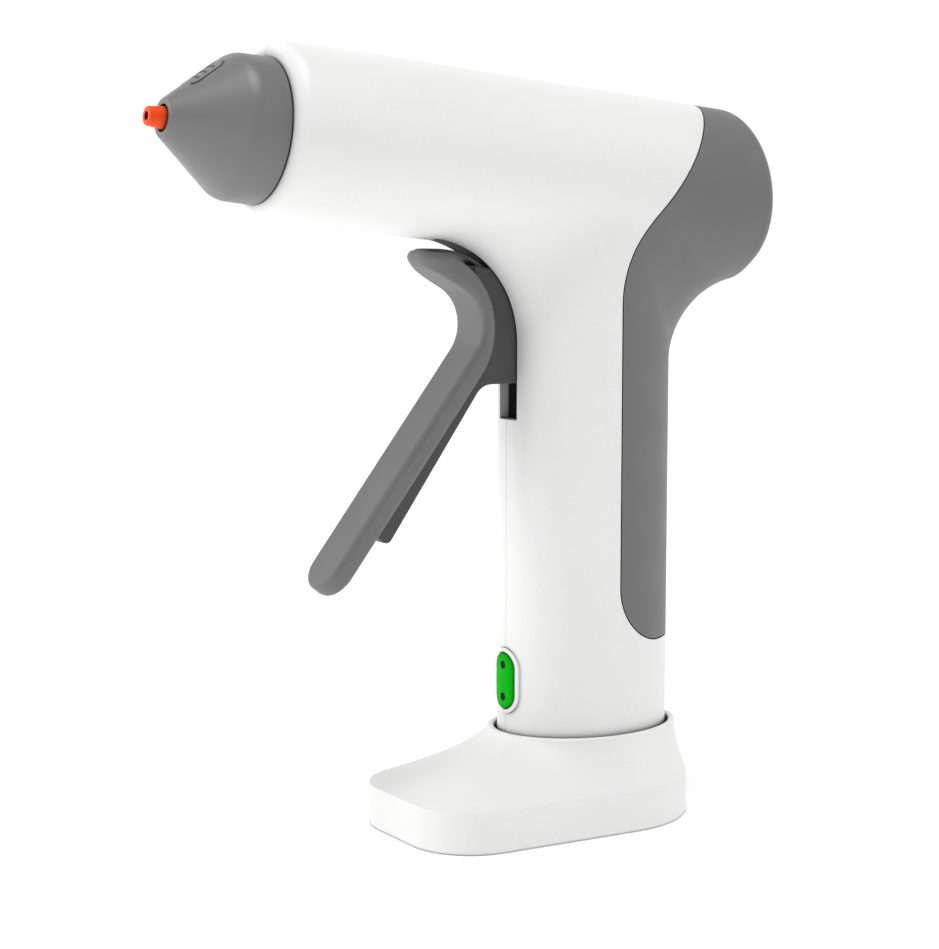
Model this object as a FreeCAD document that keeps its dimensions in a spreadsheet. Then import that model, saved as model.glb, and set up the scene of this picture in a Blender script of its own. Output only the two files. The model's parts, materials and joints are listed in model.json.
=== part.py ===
import FreeCAD, Part
import math
import os
import re

import Sketcher
from FreeCAD import Placement, Rotation, Vector

# Cordless glue gun standing in its charging base. Millimetres, +Z up, nose towards -X.
# The origin lies on the table under the axis of the handle, and y = 0 is the symmetry plane.
# The barrel has its own frame: "along" runs forward on its axis, "above" is square to it in the
# symmetry plane, and "aside" is +Y. Along is zero where the axis crosses x = 0.

SIZES = {
    "barrel_height": 142.7,
    "barrel_tilt": 6,
    "barrel_front_radius": 18.2,
    "barrel_taper": 0.003,
    "barrel_length": 80.4,
    "form_rise": 0.5,
    "barrel_run_out": 70,
    "front_round": 3.3,
    "front_opening": 11.7,
    "spigot_radius": 11.6,
    "cone_groove_radius": 13.6,
    "rear_face_x": 39.6,
    "rear_face_rake": 12,
    "rear_round": 2.6,
    "handle_half_length": 20.5,
    "handle_half_width": 15.7,
    "handle_bottom": 9.5,
    "root_round_front": 23.5,
    "root_round_rear": 20,
    "shell_wall": 2.2,
    "grip_wall": 1.5,
    "grip_backing": 1.7,
    "rear_wall": 2.2,
    "skin_gap": 0.1,
    "seam_gap": 0.3,
    "seam_lap": 3.2,
    "parting_gap": 0.04,
    "cap_top": 12.1,
    "cap_clearance": 0.1,
    "spigot_rise": 2,
    "seam_x": -0.5,
    "seam_bottom": 40.1,
    "seam_corner": 12.5,
    "seam_bend": 22,
    "seam_shoulder_height": 122.3,
    "seam_rise_x": 22.4,
    "seam_rise_height": 153.4,
    "seam_rise_bend": 60,
    "seam_exit_x": 34,
    "seam_exit_height": 165,
    "slot_half_width": 3.4,
    "slot_front": -40.5,
    "slot_bottom": 89.8,
    "slot_top": 131.5,
    "slot_back": -8,
    "pivot_x": -11,
    "pivot_height": 115.5,
    "pivot_radius": 1.5,
    "running_gap": 0.05,
    "pivot_half_length": 12,
    "press_gap": 0.02,
    "pivot_boss": 3.6,
    "hub_radius": 5,
    "lever_half": 3,
    "arm_half": 1.9,
    "arm_width": 5.4,
    "pad_half": 6,
    "pad_round": 1.4,
    "pad_tip_round": 5.6,
    "grip_middle_height": 80,
    "pad_lip_x": -42,
    "pad_lip_round": 4.4,
    "lip_low_x": -42.9,
    "lip_low_height": 123.4,
    "lip_high_x": -45.9,
    "lip_high_height": 127.6,
    "lever_bend_x": -13.8,
    "lever_bend_height": 121,
    "pad_bend": 16.6,
    "pad_front_bend": 9,
    "pad_front_drop": 13.1,
    "pad_lean": 37.9,
    "pad_thickness": 4.6,
    "pad_length": 84.2,
    "rib_depth": 4.4,
    "rib_length": 38.4,
    "rib_drop": 29.5,
    "rib_root": 97.9,
    "lever_round": 0.5,
    "arch_half": 2.6,
    "arch_x": -40,
    "arch_height": 107.2,
    "arch_radius": 20,
    "arch_wall": 0.7,
    "arch_overlap": 2,
    "arch_start_height": 118,
    "drive_along": 4.95,
    "drive_below": 12,
    "drive_radius": 1.25,
    "fork_gap": 0.18,
    "stick_radius": 3.5,
    "entry_radius": 3.75,
    "feed_radius": 4.2,
    "carriage_rear": -4,
    "carriage_length": 22,
    "carriage_half": 8.2,
    "carriage_top": 9.6,
    "rail_half": 1,
    "rail_reach": 7.5,
    "rail_gap": 0.2,
    "groove_depth": 1,
    "rail_rear": -8,
    "rail_length": 40,
    "jaw_along": 8.4,
    "jaw_above": 7,
    "jaw_wall": 1.5,
    "jaw_half": 5.4,
    "jaw_pin_radius": 1,
    "jaw_window": 5,
    "lug_inner": 2.3,
    "lug_wall": 2.2,
    "heater_rear": 62,
    "heater_length": 30,
    "heater_radius": 7,
    "melt_radius": 4,
    "outlet_radius": 1.1,
    "nozzle_length": 13,
    "nozzle_tip_radius": 1.9,
    "nozzle_bore": 0.9,
    "ball_radius": 1.5,
    "cell_radius": 9.25,
    "cell_length": 65,
    "cell_x": 6.5,
    "cell_bottom": 20.1,
    "board_x": -13,
    "board_wall": 1.6,
    "board_half": 7,
    "board_bottom": 15.5,
    "board_length": 58,
    "button_height": 31.7,
    "button_half": 3.3,
    "bezel_proud": 0.5,
    "bezel_wall": 0.9,
    "button_length": 12.4,
    "button_gap": 0.25,
    "button_proud": 0.8,
    "base_height": 20.3,
    "foot_height": 9.3,
    "foot_clearance": 0.3,
    "foot_rear_radius": 23.8,
    "foot_corner_radius": 14.6,
    "foot_front": 49,
    "foot_front_half": 22,
    "collar_half_length": 22.7,
    "collar_half_width": 17.6,
    "collar_flare": 1.7,
    "rim_round": 0.55,
    "well_gap": 0.7,
    "well_floor": 9.2,
    "base_wall": 2.4,
    "base_ceiling": 7.1,
    "base_plate_wall": 1.4,
    "base_plate_bottom": 0.6,
    "base_plate_gap": 0.2,
    "charge_pin_radius": 1,
    "charge_pin_aside": 6,
    "screw_radius": 1.1,
    "screw_head": 2.2,
    "screw_head_height": 1.4,
    "screw_boss": 2.7,
    "screw_seat": 7.5,
}

doc = FreeCAD.newDocument("GlueGun")
sheet = doc.addObject("Spreadsheet::Sheet", "Sizes")
for row, (alias, number) in enumerate(SIZES.items(), start=1):
    sheet.set("A%d" % row, alias)
    sheet.set("B%d" % row, str(number))
    sheet.setAlias("B%d" % row, alias)
doc.recompute()

nodes = []


# ---------------------------------------------------------------- reading the sheet

def bind(text):
    """The expression with every size's name pointed at the sheet."""
    def pointed(word):
        name = word.group()
        return "Sizes." + name if name in SIZES else name
    return re.sub(r"[a-z_]+", pointed, text)


def amount(text):
    """The value of an expression in the sheet's sizes."""
    return float(sheet.evalExpression(bind(str(text))))


# ---------------------------------------------------------------- placing

TILT = math.radians(amount("barrel_tilt"))
FORWARD = Vector(-math.cos(TILT), 0, math.sin(TILT))
UPWARD = Vector(math.sin(TILT), 0, math.cos(TILT))
ASIDE = Vector(0, 1, 0)
BARREL_ORIGIN = Vector(0, 0, amount("barrel_height"))
BARREL_TURN = Rotation(UPWARD, ASIDE, FORWARD, "ZXY")
TURN_TO_Y = Rotation(Vector(1, 0, 0), -90)
TURN_TO_X = Rotation(Vector(0, 1, 0), 90)


def stand(piece, x="0", y="0", z="0", turn=Rotation()):
    """Puts a piece's own origin at a point of the gun's frame."""
    piece.Placement = Placement(Vector(), turn)
    for letter, text in zip("xyz", (x, y, z)):
        piece.setExpression("Placement.Base." + letter, bind(str(text)))
    return piece


def on_barrel(piece, along="0", above="0", aside="0", turn=Rotation()):
    """Puts a piece's own origin at a point of the barrel's frame, its Z along the barrel."""
    along = "(%s)" % along
    above = "(%s)" % above
    x = "%s * sin(barrel_tilt) - %s * cos(barrel_tilt)" % (above, along)
    z = "barrel_height + %s * sin(barrel_tilt) + %s * cos(barrel_tilt)" % (along, above)
    return stand(piece, x, aside, z, BARREL_TURN.multiply(turn))


def barrel_point(along, above=0.0, aside=0.0):
    return BARREL_ORIGIN + FORWARD * along + UPWARD * above + ASIDE * aside


# ---------------------------------------------------------------- building blocks

def primitive(kind, name, **sizes):
    piece = doc.addObject("Part::" + kind, name)
    for prop, text in sizes.items():
        piece.setExpression(prop, bind(str(text)))
    return piece


def cylinder(name, radius, height):
    return primitive("Cylinder", name, Radius=radius, Height=height)


def box(name, length, width, height):
    """A box whose own origin is its lowest corner."""
    return primitive("Box", name, Length=length, Width=width, Height=height)


def cut(name, base, *tools):
    return combine("Part::Cut", name, base, tools)


def common(name, base, *tools):
    return combine("Part::Common", name, base, tools)


def combine(kind, name, base, tools):
    tool = tools[0] if len(tools) == 1 else fuse(name + "_tools", *tools)
    piece = doc.addObject(kind, name)
    piece.Base = base
    piece.Tool = tool
    return piece


def fuse(name, *parts):
    piece = doc.addObject("Part::MultiFuse", name)
    piece.Shapes = list(parts)
    piece.Refine = True
    return piece


def group(name, *parts):
    """Separate solids of one kind that share a node."""
    piece = doc.addObject("Part::Compound", name)
    piece.Links = list(parts)
    return piece


def shaped(name, solid):
    """A piece whose shape is worked out in code from the sheet's sizes."""
    piece = doc.addObject("Part::Feature", name)
    piece.Shape = solid
    return piece


def outline(body, role, corners):
    """A closed sketch of straight sides, every corner bound to the sheet."""
    sketch = body.newObject("Sketcher::SketchObject", body.Name + "_outline")
    plane = [item for item in body.Origin.OriginFeatures if item.Role == role][0]
    sketch.AttachmentSupport = [(plane, "")]
    sketch.MapMode = "FlatFace"
    points = [Vector(amount(across), amount(up), 0) for across, up in corners]
    count = len(points)
    for index in range(count):
        sketch.addGeometry(Part.LineSegment(points[index], points[(index + 1) % count]))
    for index in range(count):
        sketch.addConstraint(Sketcher.Constraint("Coincident", index, 2, (index + 1) % count, 1))
    for index, (across, up) in enumerate(corners):
        for kind, text in (("DistanceX", across), ("DistanceY", up)):
            number = sketch.addConstraint(Sketcher.Constraint(kind, -1, 1, index, 1, amount(text)))
            sketch.setExpression("Constraints[%d]" % number, bind(str(text)))
    return sketch


def turned(name, corners):
    """A body turned about its own Z; each corner of the half section is (radius, height)."""
    body = doc.addObject("PartDesign::Body", name)
    sketch = outline(body, "XZ_Plane", corners)
    turn = body.newObject("PartDesign::Revolution", name + "_turn")
    turn.Profile = sketch
    turn.ReferenceAxis = (sketch, ["V_Axis"])
    turn.Angle = 360
    body.Tip = turn
    doc.recompute()
    return body


def tube(name, bore, radius, length):
    """A plain tube: a turned body of rectangular section."""
    return turned(name, [(bore, "0"), (radius, "0"), (radius, length), (bore, length)])


def plate(name, corners, thickness):
    """A body padded up from its own XY plane."""
    body = doc.addObject("PartDesign::Body", name)
    sketch = outline(body, "XY_Plane", corners)
    pad = body.newObject("PartDesign::Pad", name + "_pad")
    pad.Profile = sketch
    pad.setExpression("Length", bind(str(thickness)))
    body.Tip = pad
    doc.recompute()
    return body


def oblong(length, width):
    """Corners of a rectangle centred on the origin."""
    return [("-(%s)/2" % length, "-(%s)/2" % width), ("(%s)/2" % length, "-(%s)/2" % width),
            ("(%s)/2" % length, "(%s)/2" % width), ("-(%s)/2" % length, "(%s)/2" % width)]


def round_rings(body, radius, *rings):
    """Rounds the circular edges of a turned body; each ring is (radius, height) in its own frame."""
    wanted = [(amount(across), amount(up)) for across, up in rings]
    base = body.Tip
    edges = []
    for index, edge in enumerate(base.Shape.Edges, start=1):
        if isinstance(edge.Curve, Part.Circle):
            height = edge.Curve.Center.z
            if any(abs(edge.Curve.Radius - a) < 0.01 and abs(height - b) < 0.01 for a, b in wanted):
                edges.append("Edge%d" % index)
    fillet = body.newObject("PartDesign::Fillet", body.Name + "_round_%d" % len(body.Group))
    fillet.Base = (base, edges)
    fillet.setExpression("Radius", bind(str(radius)))
    body.Tip = fillet
    doc.recompute()
    return body


def node(name, piece):
    """Marks a finished sub-part; its Label names its file."""
    piece.Label = name
    nodes.append(piece)
    return piece


def swept_y(face_edges, half):
    """A solid between y = -half and +half from edges of a closed outline in the XZ plane."""
    face = Part.Face(Part.Wire(face_edges))
    face.translate(Vector(0, -half, 0))
    return face.extrude(Vector(0, 2 * half, 0))


def side(x, z):
    return Vector(x, 0, z)


def arc(start, middle, end):
    return Part.Arc(start, middle, end).toShape()


def line(start, end):
    return Part.makeLine(start, end)


# ---------------------------------------------------------------- the gun's outer form

def oval(half_length, half_width, height):
    ring = Part.Ellipse(Vector(0, 0, height), half_length, half_width)
    return Part.Face(Part.Wire([ring.toShape()]))


def rear_cutter(inset):
    """A block behind the raked rear face, which is moved forward by inset."""
    size = 4 * amount("handle_half_length")
    block = Part.makeBox(size, 2 * size, 2 * size, Vector(0, -size, -size))
    rake = amount("rear_face_rake") - amount("barrel_tilt")
    turn = Rotation(Vector(0, 1, 0), -rake)
    height = BARREL_ORIGIN.z - amount("rear_face_x") * math.tan(TILT)
    face_point = Vector(amount("rear_face_x"), 0, height)
    block.Placement = Placement(face_point - turn.multVec(Vector(inset, 0, 0)), turn)
    return block


def barrel_radius(along, inset):
    return amount("barrel_front_radius") + (amount("barrel_length") - along) * amount("barrel_taper") - inset


def gun_form(inset, rear_inset, front_inset=0.0, rounded=False):
    """The barrel blended into the handle, with every side moved in by inset."""
    rear = -amount("barrel_run_out")
    front = amount("barrel_length") - front_inset
    barrel = Part.makeCone(barrel_radius(rear, inset), barrel_radius(front, inset),
                           front - rear, barrel_point(rear, amount("form_rise")), FORWARD)
    bottom = amount("handle_bottom")
    section = oval(amount("handle_half_length") - inset, amount("handle_half_width") - inset, bottom)
    handle = section.extrude(Vector(0, 0, BARREL_ORIGIN.z - bottom))
    form = barrel.fuse(handle)
    root = []
    for edge in form.Edges:
        reach = edge.BoundBox
        if reach.YLength > 5 and reach.ZMin > BARREL_ORIGIN.z / 2 and abs(reach.XMin + reach.XMax) < 2:
            root.append(edge)
    form = form.makeFillet(amount("root_round_front") + inset, amount("root_round_rear") + inset, root)
    if rounded:
        tip = [edge for edge in form.Edges if edge.BoundBox.XMax < -amount("barrel_run_out")]
        form = form.makeFillet(amount("front_round"), [edge for edge in tip if is_ring(edge)])
    form = form.cut(rear_cutter(rear_inset))
    if rounded:
        rim = [edge for edge in form.Edges
               if edge.BoundBox.XMin > amount("handle_half_length") and edge.BoundBox.YLength > 5]
        form = form.makeFillet(amount("rear_round"), rim)
    return form


def is_ring(edge):
    return isinstance(edge.Curve, Part.Circle) and edge.BoundBox.YLength > amount("barrel_front_radius")


def grip_region():
    """Side outline of everything behind the grip's seam, as a face in the XZ plane."""
    x = amount("seam_x")
    bottom = amount("seam_bottom")
    far = 3 * amount("handle_half_length")
    top = BARREL_ORIGIN.z + far
    exit_x = amount("seam_exit_x")
    corners = [(far, bottom, 0), (x, bottom, amount("seam_corner")),
               (x, amount("seam_shoulder_height"), amount("seam_bend")),
               (amount("seam_rise_x"), amount("seam_rise_height"), amount("seam_rise_bend")),
               (exit_x, amount("seam_exit_height"), 0), (exit_x, top, 0), (far, top, 0)]
    return Part.Face(Part.Wire(rounded_outline(corners)))


def region_solid(grow):
    """The grip's region as a thick slab across the gun, grown past its seam."""
    face = grip_region()
    if grow:
        face = face.makeOffset2D(grow)
        if face.ShapeType != "Face":
            face = Part.Face(face.Wires[0])
    half = 2 * amount("handle_half_width")
    face.translate(Vector(0, -half, 0))
    return face.extrude(Vector(0, 2 * half, 0))


def side_bar(along_x, height, radius, low, high):
    """A round bar across the gun from y = low to y = high."""
    return Part.makeCylinder(radius, high - low, Vector(along_x, low, height), ASIDE)


def barrel_block(along, length, above, height, low, high):
    """A box in the barrel's frame from y = low to y = high."""
    block = Part.makeBox(height, high - low, length)
    corner = barrel_point(along, above, low)
    block.Placement = Placement(corner, BARREL_TURN)
    return block


def screw_spots():
    """Side-view places of the screws that hold the two halves together."""
    spots = [barrel_point(along, above) for along, above in ((50, 12.4), (48, -12.2), (-22, 11.2))]
    return spots + [Vector(11.2, 0, 96.5), Vector(-7.9, 0, 18.5)]


def housing_outer():
    white = gun_form(0, 0, 0, True).cut(region_solid(amount("seam_gap")))
    backing = gun_form(amount("grip_wall + skin_gap"), amount("rear_wall"), 2)
    return white.fuse(backing)


def housing_hollow():
    wall = amount("shell_wall")
    white = gun_form(wall, wall, wall).cut(region_solid(amount("seam_lap")))
    deep = amount("grip_wall + skin_gap + grip_backing")
    backing = gun_form(deep, amount("rear_wall + grip_backing"), wall)
    return white.fuse(backing)


def housing_shell():
    """Both halves of the housing in one piece, before they are parted."""
    outer = housing_outer()
    shell = outer.cut(housing_hollow())
    pivot_x = amount("pivot_x")
    pivot_height = amount("pivot_height")
    reach = amount("handle_half_width")
    inner = amount("lever_half + skin_gap * 2")
    added = []
    for low, high in ((-reach, -inner), (inner, reach)):
        added.append(side_bar(pivot_x, pivot_height, amount("pivot_boss"), low, high))
    for spot in screw_spots():
        added.append(side_bar(spot.x, spot.z, amount("screw_boss"), -2 * reach, 2 * reach))
    rail = amount("rail_half")
    for low, high in ((-2 * reach, -amount("rail_reach")), (amount("rail_reach"), 2 * reach)):
        added.append(barrel_block(amount("rail_rear"), amount("rail_length"), -rail, 2 * rail, low, high))
    core = gun_form(amount("shell_wall - skin_gap * 2"), amount("rear_wall"), amount("shell_wall"))
    inside = [bar.common(core) for bar in added]
    inside.append(button_bezel())
    return shell.fuse(inside).cut(housing_openings(reach))


def housing_openings(reach):
    front = amount("barrel_length")
    slot = amount("slot_half_width")
    slot_low = amount("slot_bottom")
    slot_front = amount("slot_front")
    bottom = amount("cap_top")
    span = 4 * amount("foot_front")
    openings = [
        Part.makeCylinder(amount("front_opening"), 10, barrel_point(front - 8), FORWARD),
        Part.makeCylinder(amount("entry_radius + 2.5"), 30, barrel_point(-25), FORWARD * -1),
        Part.makeBox(amount("slot_back") - slot_front, 2 * slot, amount("slot_top") - slot_low,
                     Vector(slot_front, -slot, slot_low)),
        Part.makeBox(span, span, bottom, Vector(-span / 2, -span / 2, 0)),
        side_bar(amount("pivot_x"), amount("pivot_height"), amount("pivot_radius + press_gap"),
                 -amount("pivot_half_length"), amount("pivot_half_length")),
        stadium(amount("button_half + button_gap"), amount("button_length + 2 * button_gap"), 12, -27),
    ]
    for spot in screw_spots():
        seat = amount("screw_seat")
        openings.append(side_bar(spot.x, spot.z, amount("screw_radius + running_gap"), -seat, 2 * reach))
        openings.append(side_bar(spot.x, spot.z, amount("screw_head + skin_gap * 2"), seat, 2 * reach))
    return openings


def button_bezel():
    """The low rim around the power button, its face following the handle's curve."""
    edge = amount("button_gap + bezel_wall")
    proud = amount("bezel_proud")
    rim = stadium(amount("button_half") + edge, amount("button_length") + 2 * edge, 5, -24)
    skin = oval(amount("handle_half_length") + proud, amount("handle_half_width") + proud, amount("cap_top"))
    rim = rim.common(skin.extrude(Vector(0, 0, 3 * amount("button_length"))))
    return rim


def stadium(half, length, depth, x):
    """A round-ended bar along X, centred on the power button."""
    height = amount("button_height")
    reach = length / 2 - half
    middle = Part.makeBox(depth, 2 * half, 2 * reach, Vector(x, -half, height - reach))
    ends = []
    for up in (-reach, reach):
        ends.append(Part.makeCylinder(half, depth, Vector(x, 0, height + up), Vector(1, 0, 0)))
    return middle.fuse(ends).removeSplitter()


def housing_halves():
    shell = housing_shell()
    span = 4 * amount("foot_front")
    gap = amount("parting_gap") / 2
    left = shell.common(Part.makeBox(span, span, span, Vector(-span / 2, -span - gap, 0)))
    right = shell.common(Part.makeBox(span, span, span, Vector(-span / 2, gap, 0)))
    node("housing_left", shaped("housing_left", left))
    node("housing_right", shaped("housing_right", right))


def grip_cover():
    form = gun_form(0, 0, 0, True).common(region_solid(0))
    form = form.cut(gun_form(amount("grip_wall"), amount("rear_wall - skin_gap"), 2))
    mouth = Part.makeCylinder(amount("entry_radius + 2.6"), 30, barrel_point(-25), FORWARD * -1)
    node("grip_cover", shaped("grip_cover", form.cut(mouth)))


def housing_screws():
    screws = []
    for index, spot in enumerate(screw_spots()):
        screw = turned("housing_screw_%d" % index, [
            ("0", "-screw_seat * 2 + 1"), ("screw_radius", "-screw_seat * 2 + 1"), ("screw_radius", "0"),
            ("screw_head", "0"), ("screw_head", "screw_head_height"), ("0.7", "screw_head_height"),
            ("0.7", "screw_head_height * 0.4"), ("0", "screw_head_height * 0.4")])
        stand(screw, str(spot.x), "screw_seat", str(spot.z), TURN_TO_Y)
        screws.append(screw)
    node("housing_screws", group("housing_screw_set", *screws))


# ---------------------------------------------------------------- nose and heater

def nose_cone():
    cone = turned("nose_cone", [
        ("spigot_radius", "0"), ("cone_groove_radius", "0"), ("cone_groove_radius", "seam_gap"),
        ("14.9", "seam_gap"), ("14.75", "7.4"), ("3.9", "21.2"), ("2.8", "21.2"), ("2.8", "19.6"),
        ("10.4", "9.8"), ("10.4", "-2.6"), ("spigot_radius", "-2.6")])
    round_rings(cone, "4.6", ("14.75", "7.4"))
    round_rings(cone, "0.5", ("3.9", "21.2"))
    node("nose_cone", on_barrel(cone, "barrel_length"))


def nozzle():
    tip = turned("nozzle", [
        ("1.8", "0"), ("6", "0"), ("6", "2.5"), ("2.45", "7"), ("2.3", "9.6"),
        ("nozzle_tip_radius", "nozzle_length"), ("nozzle_bore", "nozzle_length"), ("nozzle_bore", "8"),
        ("1.8", "7")])
    round_rings(tip, "0.35", ("nozzle_tip_radius", "nozzle_length"))
    node("nozzle", on_barrel(tip, "heater_rear + heater_length"))


def heater():
    tank = turned("heater_tank", [
        ("melt_radius", "0"), ("heater_radius", "0"), ("heater_radius", "heater_length"),
        ("outlet_radius", "heater_length"), ("outlet_radius", "heater_length - 3"),
        ("melt_radius", "heater_length - 8")])
    on_barrel(tank, "heater_rear")
    pad = on_barrel(box("heater_pad", "3.4", "9", "10"), "heater_rear + 2", "-8.4", "-4.5")
    node("heater_barrel", fuse("heater_barrel", tank, cut("heater_pad_cut", pad, tank_core())))
    element = on_barrel(box("heater_element", "2.4", "8", "9"), "heater_rear + 2.5", "-10.8", "-4")
    node("heater_element", element)
    outer = on_barrel(box("clip_outer", "19.4", "16", "5"), "heater_rear + 4.5", "-11.6", "-8")
    inner = on_barrel(box("clip_inner", "18.1", "14.4", "7"), "heater_rear + 3.5", "-10.9", "-7.2")
    node("heater_clip", cut("heater_clip", outer, inner))
    sensor = on_barrel(cylinder("thermistor", "0.9", "2.8"), "heater_rear + 10.1", "heater_radius + 1")
    node("thermistor", sensor)


def tank_core():
    return on_barrel(cylinder("tank_core", "heater_radius - 1", "heater_length"), "heater_rear")


def heater_supports():
    front = tube("heat_ring_front", "heater_radius + running_gap", "front_opening - 0.4", "2.4")
    node("heat_ring_front", on_barrel(front, "barrel_length - 5.2"))
    rear = tube("heat_ring_rear", "5.55", "15.4", "2.4")
    node("heat_ring_rear", on_barrel(rear, "heater_rear - 4"))
    sleeve = turned("inlet_sleeve", [
        ("feed_radius - 0.2", "0"), ("8", "0"), ("8", "1.6"), ("5.5", "1.6"), ("5.5", "28"),
        ("feed_radius - 0.2", "28")])
    node("inlet_sleeve", on_barrel(sleeve, "heater_rear - 28"))


def check_valve():
    ball = primitive("Sphere", "valve_ball", Radius="ball_radius")
    node("valve_ball", on_barrel(ball, "heater_rear + heater_length + 1.06"))
    spring = coil("valve_spring", 1.2, 0.15, 3.6, 4)
    node("valve_spring", on_barrel(spring, "heater_rear + heater_length + 2.9"))


def coil(name, radius, wire, length, turns):
    """A square-wire compression spring along its own Z; wire is half the wire's thickness."""
    helix = Part.makeHelix(length / turns, length, radius)
    corners = [side(radius - wire, -wire), side(radius + wire, -wire), side(radius + wire, wire),
               side(radius - wire, wire), side(radius - wire, -wire)]
    return shaped(name, Part.Wire(helix).makePipeShell([Part.makePolygon(corners)], True, True))


# ---------------------------------------------------------------- glue path

def glue_path():
    bush = turned("entry_bush", [
        ("entry_radius", "-40.8"), ("entry_radius + 2", "-40.8"), ("entry_radius + 2.4", "-40.2"),
        ("entry_radius + 2.4", "-28"), ("entry_radius", "-28")])
    node("entry_bush", on_barrel(bush))
    guide = tube("guide_tube", "entry_radius + 0.15", "4.9", "22")
    node("guide_tube", on_barrel(guide, "-28"))


def carriage():
    length = "carriage_length"
    full = "2 * carriage_half"
    block = on_barrel(box("carriage_block", "carriage_half + carriage_top", full, length),
                      "carriage_rear", "-carriage_half", "-carriage_half")
    lugs = []
    for name, low in (("left", "-lug_inner - lug_wall"), ("right", "lug_inner")):
        lug = box("lug_" + name, "8", "lug_wall", "7")
        lugs.append(on_barrel(lug, "drive_along - 3.5", "-carriage_half - 6.6", low))
    feed = on_barrel(cylinder("carriage_feed", "feed_radius", "carriage_length + 2"), "carriage_rear - 1")
    window = on_barrel(box("jaw_space", "carriage_half + carriage_top", "2 * jaw_half + 1", "jaw_window"),
                       "jaw_along - 3", "0.6 - carriage_half", "-jaw_half - 0.5")
    grooves = []
    for name, low in (("left", "-carriage_half - 1"), ("right", "carriage_half - groove_depth")):
        groove = box("groove_" + name, "2 * (rail_half + rail_gap)", "groove_depth + 1",
                     "carriage_length + 2")
        grooves.append(on_barrel(groove, "carriage_rear - 1", "-rail_half - rail_gap", low))
    drive_hole = cross_pin("drive_hole", "drive_radius", "carriage_half", "drive_along", "-drive_below")
    jaw_hole = cross_pin("jaw_hole", "jaw_pin_radius", "carriage_half + 1", "jaw_along", "jaw_above")
    body = fuse("carriage_body", block, *lugs)
    node("carriage", cut("carriage", body, feed, window, *grooves, drive_hole, jaw_hole))
    drive = cross_pin("drive_pin", "drive_radius", "lug_inner + lug_wall", "drive_along", "-drive_below")
    node("drive_pin", drive)
    pivot = cross_pin("jaw_pin", "jaw_pin_radius", "carriage_half - groove_depth", "jaw_along", "jaw_above")
    node("jaw_pin", pivot)


def cross_pin(name, radius, half, along, above):
    """A round pin across the gun, centred on its symmetry plane."""
    pin = cylinder(name, radius, "2 * (%s)" % half)
    return on_barrel(pin, along, above, "-(%s)" % half, Rotation(Vector(1, 0, 0), -90))


def grip_jaw():
    blade = on_barrel(box("jaw_blade", "16.2", "2 * jaw_half", "jaw_wall"),
                      "jaw_along - jaw_wall / 2", "jaw_above - 13.8", "-jaw_half")
    knuckle = cross_pin("jaw_knuckle", "1.9", "jaw_half", "jaw_along", "jaw_above")
    stick = on_barrel(cylinder("jaw_stick_hole", "stick_radius + 0.55", "8"), "jaw_along - 4")
    pin = cross_pin("jaw_pin_hole", "jaw_pin_radius + running_gap", "carriage_half", "jaw_along", "jaw_above")
    node("grip_jaw", cut("grip_jaw", fuse("jaw_body", blade, knuckle), stick, pin))


def return_spring():
    start = amount("carriage_rear + carriage_length") + 0.7
    length = amount("heater_rear") - 28 - start - 0.7
    node("return_spring", on_barrel(coil("return_spring", 6.4, 0.45, length, 6), str(start)))


# ---------------------------------------------------------------- trigger

def rounded_outline(corners):
    """Edges of a closed outline in the XZ plane; each corner is (x, z, radius of its arc)."""
    count = len(corners)
    spots = [side(x, z) for x, z, _ in corners]
    starts = []
    ends = []
    for index, (_, _, radius) in enumerate(corners):
        spot = spots[index]
        before = (spots[index - 1] - spot).normalize()
        after = (spots[(index + 1) % count] - spot).normalize()
        half = before.getAngle(after) / 2
        reach = radius / math.tan(half)
        starts.append(spot + before * reach)
        ends.append(spot + after * reach)
    edges = []
    for index, (_, _, radius) in enumerate(corners):
        if radius:
            bisector = ((starts[index] + ends[index]) * 0.5 - spots[index]).normalize()
            half = math.acos(bisector.dot((starts[index] - spots[index]).normalize()))
            middle = spots[index] + bisector * (radius / math.sin(half) - radius)
            edges.append(arc(starts[index], middle, ends[index]))
        edges.append(line(ends[index], starts[(index + 1) % count]))
    return edges


def lean_direction():
    """Unit vector down the trigger's straight tongue, and the one square to it, towards the nose."""
    lean = math.radians(amount("pad_lean"))
    return side(-math.sin(lean), -math.cos(lean)), side(-math.cos(lean), math.sin(lean))


def pad_corners():
    """The pad's outline: a hook under the barrel, then a long straight tongue."""
    down, front = lean_direction()
    bend = lever_bend()
    back_tip = bend + down * amount("pad_length")
    front_tip = back_tip + front * amount("pad_thickness")
    front_bend = bend + front * amount("pad_thickness") + down * amount("pad_front_drop")
    return [(bend.x, bend.z, amount("pad_bend")), (back_tip.x, back_tip.z, 0), (front_tip.x, front_tip.z, 0),
            (front_bend.x, front_bend.z, amount("pad_front_bend")),
            (amount("lip_low_x"), amount("lip_low_height"), 0),
            (amount("lip_high_x"), amount("lip_high_height"), 0)]


def lever_bend():
    """Where the two straight runs of the pad's back would meet, behind its bend."""
    return side(amount("lever_bend_x"), amount("lever_bend_height"))


def is_end_edge(edge):
    """True for the short straight edges across the thickness of the pad, at its tip and its lip."""
    flat = edge.BoundBox.YLength < 0.01
    return flat and isinstance(edge.Curve, Part.Line) and edge.Length < 1.3 * amount("pad_thickness")


def sharp_edges(shape, least=20):
    """The edges where two faces meet at more than `least` degrees."""
    found = []
    for edge in shape.Edges:
        faces = shape.ancestorsOfType(edge, Part.Face)
        if len(faces) != 2:
            continue
        middle = edge.valueAt((edge.FirstParameter + edge.LastParameter) / 2)
        normals = [face.normalAt(*face.Surface.parameter(middle)) for face in faces]
        if math.degrees(normals[0].getAngle(normals[1])) > least:
            found.append(edge)
    return found


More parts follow.
